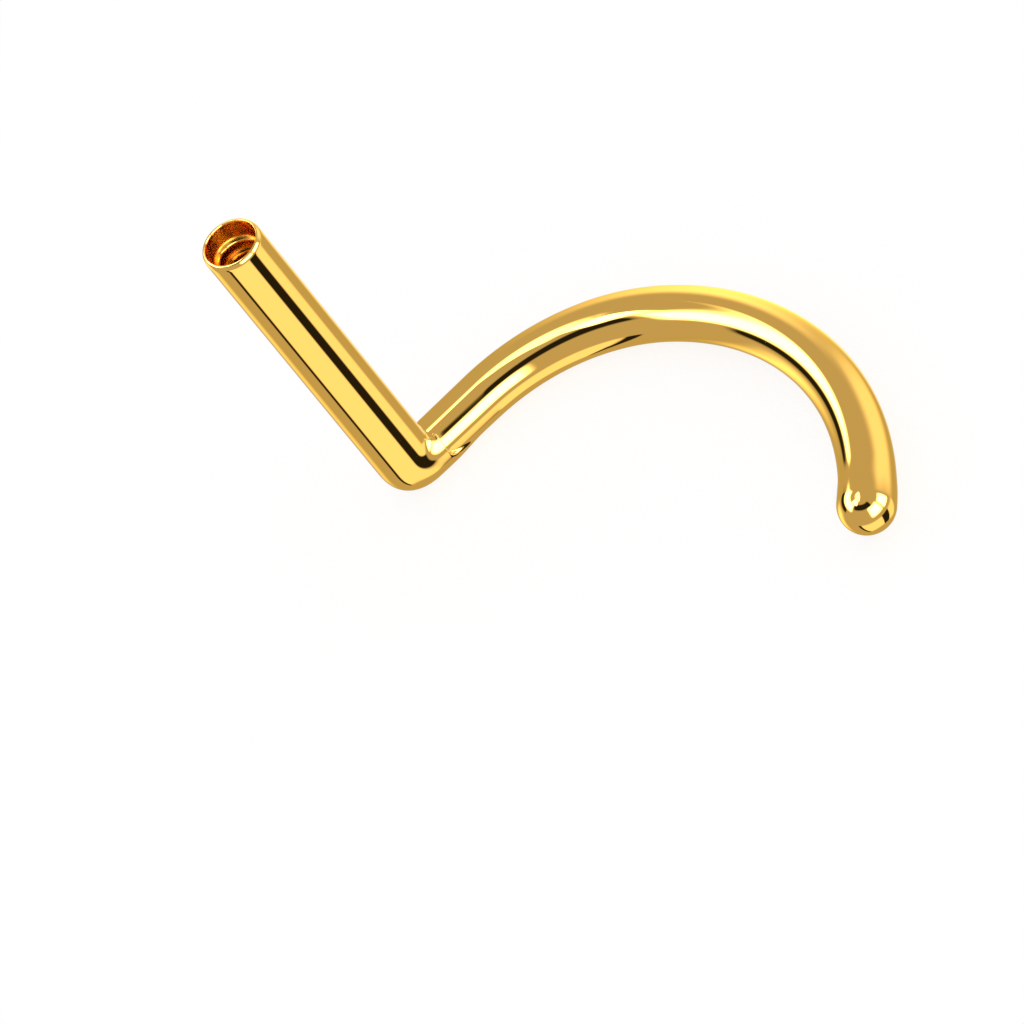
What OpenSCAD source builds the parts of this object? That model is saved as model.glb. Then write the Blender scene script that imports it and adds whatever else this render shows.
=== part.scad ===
// Nose screw for a nostril piercing, in millimetres.
// One bent wire: an upright post, a tight right-angle bend and a tail curled into a flat hook.
// The open end of the post is drilled and threaded inside for a screw-in top.
// The hook lies on z = 0, the post stands up along +Z, and the origin is the middle of the footprint.

/* [Post] */
// Outside diameter of the post, 18 gauge
post_d = 1.0; // [0.95:0.01:1.05]
// Height from the surface that it rests on to the crest of the lip
post_h = 6.7; // [5.5:0.1:9]

/* [Bend] */
// Radius of the bend at the foot of the post, along the middle of the wire
bend_r = 0.23; // [0.15:0.01:0.3]
// Distance from the post's axis to the shoulder where the bend ends
shoulder_x = 0.45; // [0.4:0.01:0.5]
// Width of the broken edge on that shoulder
shoulder_break = 0.04; // [0.02:0.01:0.05]

/* [Tail] */
// Diameter of the tail where it leaves the shoulder
neck_d = 0.84; // [0.8:0.01:0.86]
// Diameter of the tail along the curl
tail_d = 0.91; // [0.88:0.01:0.94]
// Distance from the post's axis to the start of the curl
neck_end_x = 1.6; // [1.3:0.1:2]
// Radius of the first stretch of the curl, along the middle of the wire
first_curl_r = 3.7; // [3.4:0.1:4]
// Angle of the first stretch of the curl
first_curl_angle = 53; // [45:1:60]
// Radius of the second stretch of the curl
second_curl_r = 4.7; // [4.2:0.1:5]
// Angle of the second stretch of the curl
second_curl_angle = 79; // [60:1:90]

/* [Threaded hole] */
// Diameter of the plain mouth inside the lip
mouth_d = 0.84; // [0.83:0.01:0.86]
// Diameter of the mouth at its floor, where it has narrowed a little
mouth_floor_d = 0.82; // [0.81:0.01:0.82]
// Depth of the plain mouth below the crest of the lip
mouth_depth = 0.34; // [0.3:0.01:0.4]
// Diameter across the roots of the thread
root_d = 0.8; // [0.76:0.01:0.8]
// Diameter across the crests of the thread, which is the tap drill
crest_d = 0.62; // [0.58:0.01:0.66]
// Rise of the thread in one turn
pitch = 0.3; // [0.25:0.01:0.3]
// Number of turns
turns = 4; // [3:0.5:4]
// Depth of the drilled hole from the crest of the lip to the drill's tip
hole_depth = 3.1; // [3:0.1:3.5]

/* [Hidden] */
$fn = 64;

post_r = post_d / 2;
neck_r = neck_d / 2;
tail_r = tail_d / 2;
mouth_r = mouth_d / 2;
mouth_floor_r = mouth_floor_d / 2;
root_r = root_d / 2;
crest_r = crest_d / 2;

// Heights of the wire's middle in the bend and in the tail: both lie on z = 0
bend_z = post_r;
tail_z = tail_r;
// The straight wall of the post starts above the bend and ends below the rounded lip
wall_start_z = bend_z + bend_r;
lip_r = (post_r - mouth_r) / 2;
wall_end_z = post_h - lip_r;

// The tail thickens by a hair from one stretch to the next, and each end is let into its neighbour
seam_step = 0.005;
seam_overlap = 0.02;
first_curl_wire_r = tail_r - seam_step;
neck_end_r = tail_r - 2 * seam_step;
tip_r = tail_r - seam_step;

// Points along the middle of the tail, seen from above; it curls clockwise
function away_from_centre(turned) = [sin(turned), cos(turned)];
curl_start = [neck_end_x, 0];
first_centre = curl_start - first_curl_r * away_from_centre(0);
curl_change = first_centre + first_curl_r * away_from_centre(first_curl_angle);
second_centre = curl_change - second_curl_r * away_from_centre(first_curl_angle);
total_curl = first_curl_angle + second_curl_angle;
curl_end = second_centre + second_curl_r * away_from_centre(total_curl);

// Middle of the footprint, measured from the post's axis
reach_x = second_centre[0] + second_curl_r + tail_r;
reach_y = curl_end[1] - tip_r;
footprint_x = (reach_x - post_r) / 2;
footprint_y = (reach_y + post_r) / 2;

// The hole, from its mouth down
mouth_floor_z = post_h - mouth_depth;
mouth_wall_h = wall_end_z - mouth_floor_z;
mouth_flare = (mouth_r - mouth_floor_r) / mouth_wall_h;
countersink_h = mouth_floor_r - crest_r;
drill_tip_angle = 118;
drill_tip_h = crest_r / tan(drill_tip_angle / 2);
drill_floor_z = post_h - hole_depth + drill_tip_h;
// How far a cutting shape reaches into open space
clear = 0.05;

// The groove between the thread's ridges has sloping flanks at 60 degrees and a narrow flat root
flank_angle = 30;
root_flat = 0.05;
groove_inner_r = crest_r - clear;
groove_inner_half = root_flat / 2 + (root_r - groove_inner_r) * tan(flank_angle);
groove_section = [
    [groove_inner_r, -groove_inner_half],
    [root_r, -root_flat / 2],
    [root_r, root_flat / 2],
    [groove_inner_r, groove_inner_half]
];
turn_steps = 20;
groove_steps = turns * turn_steps;
groove_start_z = mouth_floor_z - turns * pitch;
corners = len(groove_section);

// Corner c of the groove's section after a number of steps up the helix
function groove_point(step, c) =
    let (
        angle = 360 * step / turn_steps,
        radius = groove_section[c][0],
        rise = groove_start_z + pitch * step / turn_steps
    )
    [radius * cos(angle), radius * sin(angle), rise + groove_section[c][1]];

// The two triangles between corner c and the next one, from one step to the next
function groove_side(step, c) =
    let (
        next = (c + 1) % corners,
        low = step * corners,
        high = low + corners
    )
    [[low + c, low + next, high + c], [low + next, high + next, high + c]];

module thread_groove() {
    points = [for (step = [0 : groove_steps]) for (c = [0 : corners - 1]) groove_point(step, c)];
    sides = [
        for (step = [0 : groove_steps - 1])
            for (c = [0 : corners - 1])
                for (triangle = groove_side(step, c)) triangle
    ];
    last = groove_steps * corners;
    bottom_cap = [[0, 2, 1], [0, 3, 2]];
    top_cap = [[last, last + 1, last + 2], [last, last + 2, last + 3]];
    polyhedron(points = points, faces = concat(sides, bottom_cap, top_cap), convexity = 6);
}

module hole() {
    translate([0, 0, mouth_floor_z])
        cylinder(r1 = mouth_floor_r, r2 = mouth_r + mouth_flare * clear, h = mouth_wall_h + clear);
    translate([0, 0, mouth_floor_z - countersink_h])
        cylinder(r1 = crest_r, r2 = mouth_floor_r, h = countersink_h);
    translate([0, 0, drill_floor_z])
        cylinder(r = crest_r, h = mouth_floor_z - drill_floor_z);
    translate([0, 0, drill_floor_z - drill_tip_h])
        cylinder(r1 = 0, r2 = crest_r, h = drill_tip_h);
    thread_groove();
}

// Full-round rim on the wall between the hole's mouth and the post's outside
module lip() {
    translate([0, 0, wall_end_z])
        rotate_extrude()
            intersection() {
                translate([mouth_r + lip_r, 0])
                    circle(r = lip_r);
                translate([mouth_r - clear, 0])
                    square([post_r, post_r]);
            }
}

module post() {
    difference() {
        translate([0, 0, wall_start_z])
            cylinder(r = post_r, h = wall_end_z - wall_start_z);
        hole();
    }
    lip();
}

// The wire turns from straight down to +X; its section is cut off at the centre of the turn
module bend() {
    translate([bend_r, 0, wall_start_z])
        rotate([90, 0, 0])
            rotate([0, 0, 180])
                rotate_extrude(angle = 90)
                    intersection() {
                        translate([bend_r, 0])
                            circle(r = post_r);
                        translate([0, -post_r])
                            square([bend_r + post_r, post_d]);
                    }
    translate([bend_r, 0, bend_z])
        rotate([0, 90, 0])
            cylinder(r = post_r, h = shoulder_x - shoulder_break - bend_r);
    translate([shoulder_x - shoulder_break, 0, bend_z])
        rotate([0, 90, 0])
            cylinder(r1 = post_r, r2 = post_r - shoulder_break, h = shoulder_break);
}

// One stretch of the curl about a centre, from one turned angle on, as thick as wire_r
module curl_stretch(centre, radius, from, angle, wire_r) {
    translate([centre[0], centre[1], tail_z])
        rotate([0, 0, 90 - from - angle])
            rotate_extrude(angle = angle)
                translate([radius, 0])
                    circle(r = wire_r);
}

module tail() {
    // Neck, from inside the bend to just inside the curl
    translate([bend_r, 0, tail_z])
        rotate([0, 90, 0])
            cylinder(r1 = neck_r, r2 = neck_end_r, h = neck_end_x + seam_overlap - bend_r);
    first_overlap_angle = seam_overlap / first_curl_r * 180 / PI;
    curl_stretch(first_centre, first_curl_r, 0, first_curl_angle + first_overlap_angle, first_curl_wire_r);
    curl_stretch(second_centre, second_curl_r, first_curl_angle, second_curl_angle, tail_r);
    // Rounded tip
    translate([curl_end[0], curl_end[1], tail_z])
        sphere(r = tip_r);
}

module nose_screw() {
    color([0.86, 0.66, 0.27])
        translate([-footprint_x, -footprint_y, 0]) {
            post();
            bend();
            tail();
        }
}

nose_screw();
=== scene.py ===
import bpy
import numpy as np
from mathutils import Euler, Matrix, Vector


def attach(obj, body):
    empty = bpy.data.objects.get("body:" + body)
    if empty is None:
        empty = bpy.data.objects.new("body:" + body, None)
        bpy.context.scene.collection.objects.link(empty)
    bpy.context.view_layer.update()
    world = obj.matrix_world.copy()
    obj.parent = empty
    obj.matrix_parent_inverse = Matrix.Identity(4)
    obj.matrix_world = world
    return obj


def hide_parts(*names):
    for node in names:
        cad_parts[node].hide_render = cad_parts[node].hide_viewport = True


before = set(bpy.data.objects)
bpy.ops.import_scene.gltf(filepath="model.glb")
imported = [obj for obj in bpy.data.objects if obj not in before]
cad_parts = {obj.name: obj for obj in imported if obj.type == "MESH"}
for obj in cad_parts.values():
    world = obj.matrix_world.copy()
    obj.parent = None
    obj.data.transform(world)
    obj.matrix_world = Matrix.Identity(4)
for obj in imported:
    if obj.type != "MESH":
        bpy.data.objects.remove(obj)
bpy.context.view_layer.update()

# Threaded hole. The real one is drilled into the open end of the post with a 118 degree drill, tapped with a
# few turns of fine right-hand thread for the stem of a screw-in top, and flared a little at its mouth.
MM = 0.001
POST_AXIS = np.array([-2.728182, 3.698365]) * MM
AROUND = 128
angle = np.arange(AROUND) * 2 * np.pi / AROUND
cos_a, sin_a = np.cos(angle), np.sin(angle)
POST_TOP = 6.7 * MM
POST_R = 0.5 * MM
MOUTH_R = 0.425 * MM
CREST_R = 0.337 * MM
ROOT_R = 0.405 * MM
PITCH = 0.28 * MM
THREAD_START = 5.1 * MM
FIRST_CREST = 5.11 * MM
LAST_CREST = 6.42 * MM
GROOVE_FADE = 0.2 * MM
RIDGE_FADE = 0.1 * MM
FLARE_DEPTH = 0.4 * MM
DRILL_TIP = 3.6 * MM
DRILL_HALF_ANGLE = np.radians(59)
DRILL_FLOOR = DRILL_TIP + CREST_R / np.tan(DRILL_HALF_ANGLE)


def eased(t):
    """Goes from 0 to 1 with no corner at either end: 6t^5 - 15t^4 + 10t^3, held at its ends."""
    t = np.clip(t, 0, 1)
    return t**3 * (t * (6 * t - 15) + 10)


def upright_rings(radius, height):
    """Rings about the post's axis: each height is one ring, and its radius may change with the angle."""
    radius, height = np.broadcast_arrays(radius, np.asarray(height)[:, None] + 0 * angle)
    return np.stack([radius * cos_a, radius * sin_a, height], -1)


def bore_radius(height):
    """Radius of the bore's wall by height and angle.

    The ridge that stands between the turns of the groove climbs one pitch a turn: its crest is at first crest
    + pitch * (turn + angle / full turn). Across it the wall swings from the root radius to the crest radius
    and back as the fourth power of a cosine. The ridge dies out under the lip, the groove dies out at the
    thread's lower end, and above the last ridge the wall flares to the mouth's radius.
    """
    height = height[:, None]
    run = (height - FIRST_CREST) / PITCH - angle / (2 * np.pi)
    own_crest = height + (np.round(run) - run) * PITCH
    ridge = np.cos(np.pi * run) ** 4 * (1 - eased((own_crest - LAST_CREST) / RIDGE_FADE))
    tapped = eased((height - THREAD_START) / GROOVE_FADE)
    flare = eased((height - POST_TOP + FLARE_DEPTH) / FLARE_DEPTH)
    return CREST_R + (ROOT_R - CREST_R) * tapped * (1 - ridge) + (MOUTH_R - ROOT_R) * flare * (1 - ridge)


drill_part = np.linspace(0.08, 1, 9)
drill_cone = upright_rings(CREST_R * drill_part[:, None], DRILL_TIP + (DRILL_FLOOR - DRILL_TIP) * drill_part)
bore_height = np.concatenate(
    [
        np.linspace(DRILL_FLOOR + 0.04 * MM, THREAD_START - 0.05 * MM, 10),
        np.linspace(THREAD_START, POST_TOP - 0.04 * MM, 170),
    ]
)
bore_wall = upright_rings(bore_radius(bore_height), bore_height)

# Lip of the post. The thin wall left round the mouth is polished round, broadly on the outside and finely on
# the inside, so it catches the light as a fine bright ring. The material also paints it a paler gold, a
# painted highlight that makes that ring brighter.
OUTER_LIP = np.array([0.055, 0.12]) * MM
INNER_LIP = np.array([POST_R - MOUTH_R - OUTER_LIP[0], 0.04 * MM])
lip_turn = np.linspace(0, np.pi, 33)[1:]
across_lip, up_lip = np.where(lip_turn < np.pi / 2, INNER_LIP[:, None], OUTER_LIP[:, None])
lip_r = POST_R - OUTER_LIP[0] - across_lip * np.cos(lip_turn)
lip = upright_rings(lip_r[:, None], POST_TOP - up_lip * (1 - np.sin(lip_turn)))

# Post, bend and shoulder. The 18 gauge wire is bent square while it is still full thickness, so the outside
# of the bend is round, its sides flow over, and the inside closes to a notch. The shoulder is where the full
# wire ends and the tail, ground thinner beforehand, begins. It leans out a little on one side.
WIRE_MIDDLE = 0.5 * MM
NOTCH_R = 0.03 * MM
OUTSIDE_BEND_R = 0.78 * MM
LEAN = 0.08 * MM
SHOULDER = 0.5 * MM
TAIL_R = 0.455 * MM
NECK_R = 0.42 * MM
FULL_AT = 4 * MM
BALL_R = 0.47 * MM
BALL_FROM = 10.8 * MM
BALL_SWELL = 0.7 * MM
NECK_END = 1.6 * MM


def tail_radius(run):
    """Radius of the tail by its run from the post's axis: it grows evenly, stays, then swells at its end."""
    swell = (BALL_R - TAIL_R) * eased((run - BALL_FROM) / BALL_SWELL)
    return NECK_R + (TAIL_R - NECK_R) * np.clip(run / FULL_AT, 0, 1) + swell


# By the angle round the wire, from 0 on top, which is the inside of the bend: how widely a line along the
# wire turns, whether it is on the full wire at all once it has turned, and where and how gently the shoulder
# drops.
line_x = POST_R * cos_a
outward = (1 - cos_a) / 2
lean = LEAN * eased(0.5 - sin_a) * eased(outward / 0.12) * (1 - outward)
line_turn = NOTCH_R + (OUTSIDE_BEND_R - NOTCH_R) * outward + lean
on_full_wire = eased((0.86 - cos_a) / 0.1)
step_length = (0.025 + 0.8 * eased((0.25 - cos_a) / 1.1)) * MM
line_end_x = line_x + line_turn
step_start = np.maximum(SHOULDER + lean, line_end_x + 0.01 * MM)


def straight_rings(x):
    """Points of the tail's straight start, angle 0 on top: full wire before the shoulder, tail after it."""
    full = on_full_wire * (1 - eased((x - step_start) / step_length))
    radius = tail_radius(x) + (POST_R - tail_radius(x)) * full
    middle = TAIL_R + (WIRE_MIDDLE - TAIL_R) * full
    return np.stack([x + 0 * angle, radius * sin_a, middle + radius * cos_a], -1)


# A quarter turn of unit size, whose direction swings as 3t^2 - 2t^3, so that it starts and ends gently.
part_round = np.linspace(0, 1, 961)
direction = np.pi / 2 * (3 - 2 * part_round) * part_round**2
gone_across, gone_down = np.cumsum([np.sin(direction), np.cos(direction)], axis=1)[:, ::20, None]
gone_across, gone_down = gone_across / gone_across[-1], gone_down / gone_down[-1]

line_end = straight_rings(line_end_x)
turn_top = line_end[:, 2] + line_turn
part_down = np.linspace(0, 1, 24)[1:-1, None]
wall_top = POST_TOP - OUTER_LIP[1]
post_height = wall_top + (turn_top - wall_top) * part_down
post = np.stack([line_x + 0 * part_down, POST_R * sin_a + 0 * part_down, post_height], -1)
inward = line_end[:, 1] - POST_R * sin_a
bend = np.stack(
    [
        line_x + line_turn * gone_across,
        POST_R * sin_a + inward * gone_across,
        turn_top - line_turn * gone_down,
    ],
    -1,
)
step_end = step_start + step_length
stations = [line_end_x + (step_start - line_end_x) * t for t in np.linspace(0, 1, 10)[1:]]
stations += [step_start + (step_end - step_start) * t for t in np.linspace(0, 1, 20)[1:]]
stations += [step_end + (NECK_END - step_end) * t for t in np.linspace(0, 1, 14)[1:]]
shoulder = straight_rings(np.array(stations))

# Tail. It is curled flat round a mandrel in two stretches, the second one looser, and its end is ground to a
# smooth ball so that it slides through the piercing.
FIRST_CURL_R = 3.7 * MM
FIRST_CURL = np.radians(53)
SECOND_CURL_R = 4.7 * MM
SECOND_CURL = np.radians(79)


def curl_rings(centre, curl_r, turned, run):
    """Rings of the tail about a curl's centre: a circle of the tail's radius, carried along an arc."""
    outward = np.stack([np.sin(turned), np.cos(turned)], -1)[:, None]
    radius = tail_radius(run)[:, None]
    across = centre + (curl_r + radius * sin_a)[..., None] * outward
    return np.concatenate([across, (np.maximum(TAIL_R, radius) + radius * cos_a)[..., None]], -1)


turned = np.linspace(0, FIRST_CURL, 90)[1:]
first_centre = np.array([NECK_END, -FIRST_CURL_R])
first_curl = curl_rings(first_centre, FIRST_CURL_R, turned, NECK_END + FIRST_CURL_R * turned)
first_run = NECK_END + FIRST_CURL_R * FIRST_CURL
change = np.array([np.sin(FIRST_CURL), np.cos(FIRST_CURL)])
second_centre = first_centre + (FIRST_CURL_R - SECOND_CURL_R) * change
turned = np.linspace(0, SECOND_CURL, 150)[1:]
second_run = first_run + SECOND_CURL_R * turned
second_curl = curl_rings(second_centre, SECOND_CURL_R, FIRST_CURL + turned, second_run)
end_turn = FIRST_CURL + SECOND_CURL
end_out = np.array([np.sin(end_turn), np.cos(end_turn)])
end_ahead = np.array([np.cos(end_turn), -np.sin(end_turn)])
end_middle = second_centre + SECOND_CURL_R * end_out
ball_turn = np.linspace(0, np.pi / 2, 30)[1:-1, None, None]
ball_across = np.cos(ball_turn) * sin_a[:, None] * end_out
ball_flat = end_middle + BALL_R * (ball_across + np.sin(ball_turn) * end_ahead)
ball = np.concatenate([ball_flat, BALL_R + BALL_R * np.cos(ball_turn) * cos_a[:, None]], -1)

# The post's end was cut a touch out of square, so its last millimetre leans over towards its lower side.
END_SLANT = 0.04 * MM
HIGH_SIDE = np.radians(144)
post_end = np.concatenate([drill_cone, bore_wall, lip, post])
leaned = np.clip((post_end[..., 2] - POST_TOP + 1 * MM) / MM, 0, 1)
post_end[..., 2] -= END_SLANT * leaned * (1 - np.cos(angle - HIGH_SIDE)) / 2

rings = np.concatenate([post_end, bend, shoulder, first_curl, second_curl, ball])
count = len(rings)
drill_point = [0, 0, DRILL_TIP]
ball_point = [*(end_middle + BALL_R * end_ahead), BALL_R]
points = np.concatenate([rings.reshape(-1, 3), [drill_point, ball_point]])
points[:, :2] += POST_AXIS
row, column = np.arange(count - 1)[:, None] * AROUND, np.arange(AROUND)
following = (column + 1) % AROUND
squares = np.stack(
    [row + column, row + AROUND + column, row + AROUND + following, row + following], -1
).reshape(-1, 4)
last = (count - 1) * AROUND
drill_cap = np.stack([np.full(AROUND, count * AROUND), column, following], -1)
ball_cap = np.stack([np.full(AROUND, count * AROUND + 1), last + following, last + column], -1)
skin = bpy.data.meshes.new("nose_screw_wire")
skin.from_pydata(points.tolist(), [], squares.tolist() + drill_cap.tolist() + ball_cap.tolist())
skin.polygons.foreach_set("use_smooth", np.ones(len(skin.polygons), bool))


def point_value(name, kind, field, on_rings, on_caps):
    """Stores a value for every point of the mesh, for the material to read by name."""
    values = np.concatenate([on_rings.reshape(count * AROUND, -1), np.reshape(on_caps, (2, -1))])
    skin.attributes.new(name, kind, "POINT").data.foreach_set(field, values.ravel())


# Where the material changes: along the wire, inside the bore, on the thread's crests, in the bend's inner
# corner and on the lip. The plain bore below the thread is as narrow as the crests, and counts as one.
LIP_DEPTH = OUTER_LIP[1]
CORNER = np.array([0.57, -0.33, 0.8]) * MM
ring_middle = rings.mean(axis=1)
run = np.cumsum(np.linalg.norm(np.diff(ring_middle, axis=0, prepend=ring_middle[:1]), axis=1)) / MM
wire_run = np.stack(np.broadcast_arrays(cos_a, sin_a, run[:, None]), -1)
point_value("wire_run", "FLOAT_VECTOR", "vector", wire_run, [[0, 0, 0], [0, 0, run[-1]]])
below_lip = POST_TOP - rings[..., 2]
on_bore = (np.arange(count) < len(drill_cone) + len(bore_wall))[:, None]
# Inside the bore the material paints the walls a dark orange-brown as painted shade, and makes them rougher.
point_value("in_bore", "FLOAT", "value", on_bore * eased(below_lip / LIP_DEPTH), [1, 0])
from_axis = np.linalg.norm(rings[..., :2], axis=-1)
# The thread's crests, and the plain bore below the thread: the bore's painted shade is mostly lifted here, so
# they stay plain gold as a painted highlight, and they are smoother where the stem wears them.
worn_crest_and_highlight = on_bore * eased((ROOT_R - 0.02 * MM - from_axis) / (0.045 * MM))
point_value("worn_crest_and_highlight", "FLOAT", "value", worn_crest_and_highlight, [1, 0])
from_corner = np.linalg.norm(rings - CORNER, axis=-1)
point_value("in_corner", "FLOAT", "value", 1 - eased((from_corner - 0.06 * MM) / (0.2 * MM)), [0, 0])
# The lip, which the material paints a paler gold as a painted highlight.
point_value("lip_painted_highlight", "FLOAT", "value", ~on_bore * (1 - eased(below_lip / LIP_DEPTH)), [0, 0])
wire = bpy.data.objects.new("nose_screw_wire", skin)
bpy.context.scene.collection.objects.link(wire)
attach(wire, "root")
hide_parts("nose_screw")

# Gold finish. Titanium wire under a thin coat of yellow gold, polished on a felt wheel that runs along the
# wire, then wiped by hand. It keeps faint lines the way the wheel ran, a few hair scratches, and a rougher
# bore whose thread's crests the stem that is screwed into it wears smoother. The bore's walls are painted a
# dark orange-brown as painted shade, the crests are left gold as a painted highlight, and the lip is painted
# a paler gold as a painted highlight.
def new_group(name, inputs, outputs):
    """Empty node group: inputs maps a socket's name to its kind and default, outputs a name to its kind."""
    group = bpy.data.node_groups.new(name, "ShaderNodeTree")
    for socket, (kind, default) in inputs.items():
        made = group.interface.new_socket(socket, in_out="INPUT", socket_type="NodeSocket" + kind)
        made.default_value = default
    for socket, kind in outputs.items():
        group.interface.new_socket(socket, in_out="OUTPUT", socket_type="NodeSocket" + kind)
    return group, add_node(group, "NodeGroupInput").outputs, add_node(group, "NodeGroupOutput").inputs


def add_node(tree, kind, *sources, **settings):
    """Adds a node with its settings, and fills its inputs in order, with None to skip one."""
    node = tree.nodes.new(kind)
    for name, value in settings.items():
        setattr(node, name, value)
    for socket, source in zip([s for s in node.inputs if s.enabled], sources):
        if isinstance(source, bpy.types.NodeSocket):
            tree.links.new(source, socket)
        elif source is not None:
            socket.default_value = source
    return node


def maths(tree, operation, *sources):
    """Output of one Math node."""
    return add_node(tree, "ShaderNodeMath", *sources, operation=operation).outputs[0]


def vector_maths(tree, operation, *sources):
    """Vector that one Vector Math node gives."""
    return add_node(tree, "ShaderNodeVectorMath", *sources, operation=operation).outputs["Vector"]


def parts(tree, vector):
    """The three parts of a vector."""
    return add_node(tree, "ShaderNodeSeparateXYZ", vector).outputs


def joined(tree, *three_parts):
    """Vector made of three parts."""
    return add_node(tree, "ShaderNodeCombineXYZ", *three_parts).outputs[0]


def noise(tree, place, size, **values):
    """Noise of about the given size in the units of the place; values sets its other inputs by name."""
    node = add_node(tree, "ShaderNodeTexNoise", place)
    for name, value in {"Scale": 1 / size, **values}.items():
        node.inputs[name].default_value = value
    return node.outputs["Fac"]


def faded(tree, value, low, high):
    """Map Range from low..high to 0..1, eased at both ends."""
    shape = "SMOOTHSTEP"
    return add_node(tree, "ShaderNodeMapRange", value, low, high, 0, 1, interpolation_type=shape).outputs[0]


lines_group, lines_in, lines_out = new_group(
    "wheel lines",
    {"Run": ("Vector", (0, 0, 0)), "Stretch": ("Float", 30)},
    {"Fine": "Float", "Broad": "Float"},
)
run_cos, run_sin, run_along = parts(lines_group, lines_in["Run"])
run_along = maths(lines_group, "DIVIDE", run_along, lines_in["Stretch"])
stretched = joined(lines_group, run_cos, run_sin, run_along)
lines_group.links.new(noise(lines_group, stretched, 0.02, Detail=2), lines_out["Fine"])
lines_group.links.new(noise(lines_group, stretched, 0.12, Detail=3), lines_out["Broad"])

scratch_group, scratch_in, scratch_out = new_group(
    "hair scratches", {"Place": ("Vector", (0, 0, 0)), "Size": ("Float", 0.0006)}, {"Scratch": "Float"}
)
scratch_scale = maths(scratch_group, "DIVIDE", 1, scratch_in["Size"])
scaled = vector_maths(scratch_group, "SCALE", scratch_in["Place"], scratch_scale)
curls = noise(scratch_group, scaled, 1, Distortion=0.4)
crossing = maths(scratch_group, "ABSOLUTE", maths(scratch_group, "SUBTRACT", curls, 0.5))
thin = add_node(scratch_group, "ShaderNodeMapRange", crossing, 0, 0.006, 1, 0).outputs[0]
here = faded(scratch_group, noise(scratch_group, scaled, 0.45, Detail=1), 0.56, 0.66)
scratch_group.links.new(maths(scratch_group, "MULTIPLY", thin, here), scratch_out["Scratch"])

film_group, film_in, film_out = new_group(
    "handling film",
    {"Place": ("Vector", (0, 0, 0)), "Size": ("Float", 0.0009)},
    {"Film": "Float", "Drift": "Float"},
)
film_scale = maths(film_group, "DIVIDE", 1, film_in["Size"])
scaled = vector_maths(film_group, "SCALE", film_in["Place"], film_scale)
patches = noise(film_group, scaled, 0.6, Detail=4, Roughness=0.6)
film_group.links.new(faded(film_group, patches, 0.42, 0.68), film_out["Film"])
film_group.links.new(noise(film_group, scaled, 2.5, Detail=2), film_out["Drift"])

gold = bpy.data.materials.new("polished gold")
gold.use_nodes = True
tree = gold.node_tree
shader = tree.nodes["Principled BSDF"]
place = add_node(tree, "ShaderNodeTexCoord").outputs["Object"]
wire_run, in_bore, worn_crest_and_highlight, in_corner, lip_painted_highlight = [
    add_node(tree, "ShaderNodeAttribute", attribute_name=name).outputs[kind]
    for name, kind in [
        ("wire_run", "Vector"),
        ("in_bore", "Fac"),
        ("worn_crest_and_highlight", "Fac"),
        ("in_corner", "Fac"),
        ("lip_painted_highlight", "Fac"),
    ]
]
lines = add_node(tree, "ShaderNodeGroup", node_tree=lines_group)
tree.links.new(wire_run, lines.inputs["Run"])
scratches = add_node(tree, "ShaderNodeGroup", node_tree=scratch_group)
tree.links.new(place, scratches.inputs["Place"])
film = add_node(tree, "ShaderNodeGroup", node_tree=film_group)
tree.links.new(place, film.inputs["Place"])
fine, broad = lines.outputs["Fine"], lines.outputs["Broad"]
scratch = scratches.outputs["Scratch"]


def mixed(factor, first, second):
    """Colour between two others."""
    node = add_node(tree, "ShaderNodeMix", factor, data_type="RGBA")
    for socket, colour in zip([s for s in node.inputs if s.type == "RGBA"], (first, second)):
        if isinstance(colour, bpy.types.NodeSocket):
            tree.links.new(colour, socket)
        else:
            socket.default_value = (*colour, 1)
    return next(s for s in node.outputs if s.type == "RGBA")


colour = mixed(film.outputs["Drift"], (0.93, 0.53, 0.11), (0.93, 0.55, 0.13))
colour = mixed(maths(tree, "MULTIPLY", broad, 0.12), colour, (0.86, 0.48, 0.09))
# Painted highlight: the lip is painted a paler gold so that its ring shows brighter.
colour = mixed(maths(tree, "MULTIPLY", lip_painted_highlight, 0.25), colour, (0.95, 0.66, 0.22))
# Painted shade: the bore's walls are painted dark orange-brown, less so on the thread's crests, which stay
# gold as a painted highlight. The same mask makes the bore rougher.
dull_bore_and_painted_shade = maths(tree, "MULTIPLY_ADD", worn_crest_and_highlight, -0.75, in_bore)
colour = mixed(maths(tree, "MULTIPLY", dull_bore_and_painted_shade, 0.92), colour, (0.72, 0.32, 0.04))
tree.links.new(colour, shader.inputs["Base Color"])
shader.inputs["Metallic"].default_value = 1
shader.inputs["Specular Tint"].default_value = (1, 0.84, 0.48, 1)
rough = maths(tree, "MULTIPLY_ADD", film.outputs["Film"], 0.015, 0.02)
rough = maths(tree, "MULTIPLY_ADD", broad, 0.01, rough)
rough = maths(tree, "MULTIPLY_ADD", scratch, 0.015, rough)
rough = maths(tree, "MULTIPLY_ADD", in_corner, 0.08, rough)
rough = maths(tree, "MULTIPLY_ADD", dull_bore_and_painted_shade, 0.22, rough)
tree.links.new(rough, shader.inputs["Roughness"])
# The wheel's lines are a few hundredths of a micron deep. The bore has none.
height = maths(tree, "MULTIPLY_ADD", broad, 3, fine)
height = maths(tree, "MULTIPLY_ADD", scratch, -1, height)
height = maths(tree, "MULTIPLY", height, maths(tree, "SUBTRACT", 1, in_bore))
bump = add_node(tree, "ShaderNodeBump")
bump.inputs["Strength"].default_value = 1
bump.inputs["Distance"].default_value = 1.6e-8
tree.links.new(height, bump.inputs["Height"])
tree.links.new(bump.outputs["Normal"], shader.inputs["Normal"])
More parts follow.
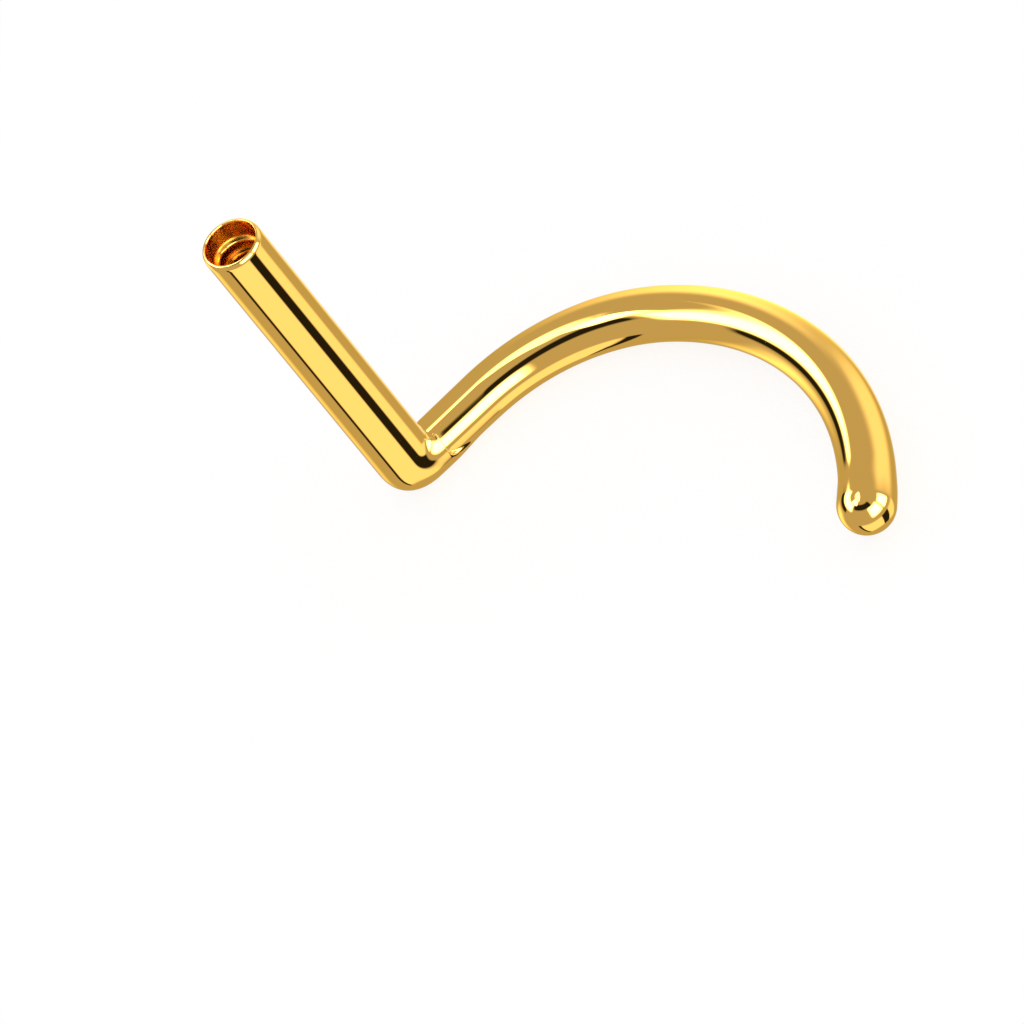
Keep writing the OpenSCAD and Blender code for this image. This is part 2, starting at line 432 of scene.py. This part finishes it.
# Reflections pass through the outside of the wire, so the post and the tail don't draw thin lines on each
# other. The bore still mirrors itself, turn after turn, which together with the painted shade on its walls
# makes it so deep an orange.
ray = add_node(tree, "ShaderNodeLightPath").outputs
backfacing = add_node(tree, "ShaderNodeNewGeometry").outputs["Backfacing"]
outside = maths(tree, "MAXIMUM", maths(tree, "SUBTRACT", 1, in_bore), backfacing)
outside = maths(tree, "MINIMUM", maths(tree, "ADD", outside, ray["Transparent Depth"]), 1)
unseen = maths(tree, "MULTIPLY", outside, ray["Is Glossy Ray"])
tree.links.new(maths(tree, "SUBTRACT", 1, unseen), shader.inputs["Alpha"])
skin.materials.append(gold)

# Floor: a sheet of plain white card that also glows, so that it stays pale. It isn't seen in the gold, which
# gets the whole of its light from the studio round it.
bpy.ops.mesh.primitive_plane_add(size=2)
floor = bpy.context.object
floor.name = "floor"
card = bpy.data.materials.new("white card")
card.use_nodes = True
card_shader = card.node_tree.nodes["Principled BSDF"]
card_shader.inputs["Base Color"].default_value = (0.15, 0.15, 0.15, 1)
card_shader.inputs["Roughness"].default_value = 0.9
card_shader.inputs["Specular IOR Level"].default_value = 0
card_shader.inputs["Emission Color"].default_value = (1, 1, 1, 1)
card_shader.inputs["Emission Strength"].default_value = 0.85
floor.data.materials.append(card)
floor.visible_glossy = False

# Studio light. Soft boxes and black cards stand round the screw in a plain studio, as for any photograph of
# bright metal: the gold shows nothing else. Each was placed on a map of azimuth and height in degrees,
# where azimuth 0 is towards -Y, the camera's side.
world = bpy.data.worlds.new("studio")
bpy.context.scene.world = world
world.use_nodes = True
studio = world.node_tree
studio.nodes.clear()
box_group, box_in, box_out = new_group(
    "soft box",
    {
        "Map": ("Vector", (0, 0, 0)),
        "Middle": ("Vector", (0, 0, 0)),
        "Half Size": ("Vector", (20, 20, 1)),
        "Soft Edge": ("Float", 8),
        "Brightness": ("Float", 1),
    },
    {"Light": "Float"},
)
away = vector_maths(box_group, "SUBTRACT", box_in["Map"], box_in["Middle"])
away_az, away_el, _ = parts(box_group, away)
away = joined(box_group, maths(box_group, "WRAP", away_az, 180, -180), away_el, 0)
away = vector_maths(box_group, "ABSOLUTE", away)
inside_az, inside_el, _ = parts(box_group, vector_maths(box_group, "SUBTRACT", box_in["Half Size"], away))
past_edge = maths(box_group, "MULTIPLY", box_in["Soft Edge"], -1)
mask = maths(
    box_group,
    "MULTIPLY",
    faded(box_group, inside_az, past_edge, box_in["Soft Edge"]),
    faded(box_group, inside_el, past_edge, box_in["Soft Edge"]),
)
box_group.links.new(maths(box_group, "MULTIPLY", mask, box_in["Brightness"]), box_out["Light"])

sight = parts(studio, add_node(studio, "ShaderNodeTexCoord").outputs["Generated"])
azimuth = maths(studio, "ARCTAN2", sight[0], maths(studio, "MULTIPLY", sight[1], -1))
azimuth = maths(studio, "MULTIPLY", azimuth, 180 / np.pi)
elevation = maths(studio, "MULTIPLY", maths(studio, "ARCSINE", sight[2]), 180 / np.pi)
studio_map = joined(studio, azimuth, elevation, 0)
# The middle, the half sizes, the soft edge and the brightness of each. A black card takes light away.
SOFT_BOXES = {
    "overhead": ((-130, 80), (75, 8), 5, 4),
    "left": ((-90, 62), (20, 8), 5, 7),
    "behind on the left": ((-132, 38), (40, 11), 6, 7),
    "front": ((5, 14), (22, 18), 7, 7),
    "right": ((52, 10), (16, 18), 5, 7),
    "right side": ((105, 0), (20, 25), 12, 0.8),
    "strip behind on the right": ((150, -10), (12, 35), 12, 1.2),
    "strip behind on the left": ((-140, -25), (12, 20), 12, 1.2),
    "low left": ((-30, -45), (38, 20), 4, 0.8),
    "low right": ((60, -45), (20, 20), 6, 0.8),
    "black card round the camera": ((-38, 47), (44, 9), 5, -1),
    "black card low in front": ((25, -45), (15, 20), 4, -1),
    "black card on the left": ((-140, 15), (25, 6), 6, -1),
    "black strip low on the left": ((-74, -45), (4, 20), 2, -1),
}
STUDIO_WALLS = 0.6
BLACK_CARD = 0.02
level = STUDIO_WALLS
for middle, half_size, soft_edge, brightness in SOFT_BOXES.values():
    box = add_node(studio, "ShaderNodeGroup", node_tree=box_group)
    studio.links.new(studio_map, box.inputs["Map"])
    box.inputs["Middle"].default_value = (*middle, 0)
    box.inputs["Half Size"].default_value = (*half_size, 1)
    box.inputs["Soft Edge"].default_value = soft_edge
    box.inputs["Brightness"].default_value = brightness
    level = maths(studio, "ADD", level, box.outputs["Light"])
level = maths(studio, "MAXIMUM", level, BLACK_CARD)
in_gold = add_node(studio, "ShaderNodeBackground", (1, 1, 1, 1), level).outputs[0]
elsewhere = add_node(studio, "ShaderNodeBackground", (1, 1, 1, 1), 1).outputs[0]
glossy_ray = add_node(studio, "ShaderNodeLightPath").outputs["Is Glossy Ray"]
seen = add_node(studio, "ShaderNodeMixShader", glossy_ray, elsewhere, in_gold).outputs[0]
add_node(studio, "ShaderNodeOutputWorld", seen)
# The gold finds the boxes by its own reflections, so the studio isn't sampled as a lamp.
world.cycles.sampling_method = "NONE"
bpy.context.scene.view_settings.view_transform = "Standard"

# Camera. A long lens about ten centimetres away, well above the floor, looking down into the post's open end.
# It stands on the -Y side, where the tip of the tail is nearest to it.
camera = bpy.data.objects.new("camera", bpy.data.cameras.new("camera"))
bpy.context.scene.collection.objects.link(camera)
camera.location = Vector((-10.4752, -71.3719, 75.6667)) * MM
camera.rotation_euler = Euler(np.radians([37.2074, 25.8768, -36.3867]))
camera.data.sensor_width = 36
camera.data.lens = 232.876
camera.data.clip_start = 0.01
bpy.context.scene.camera = camera
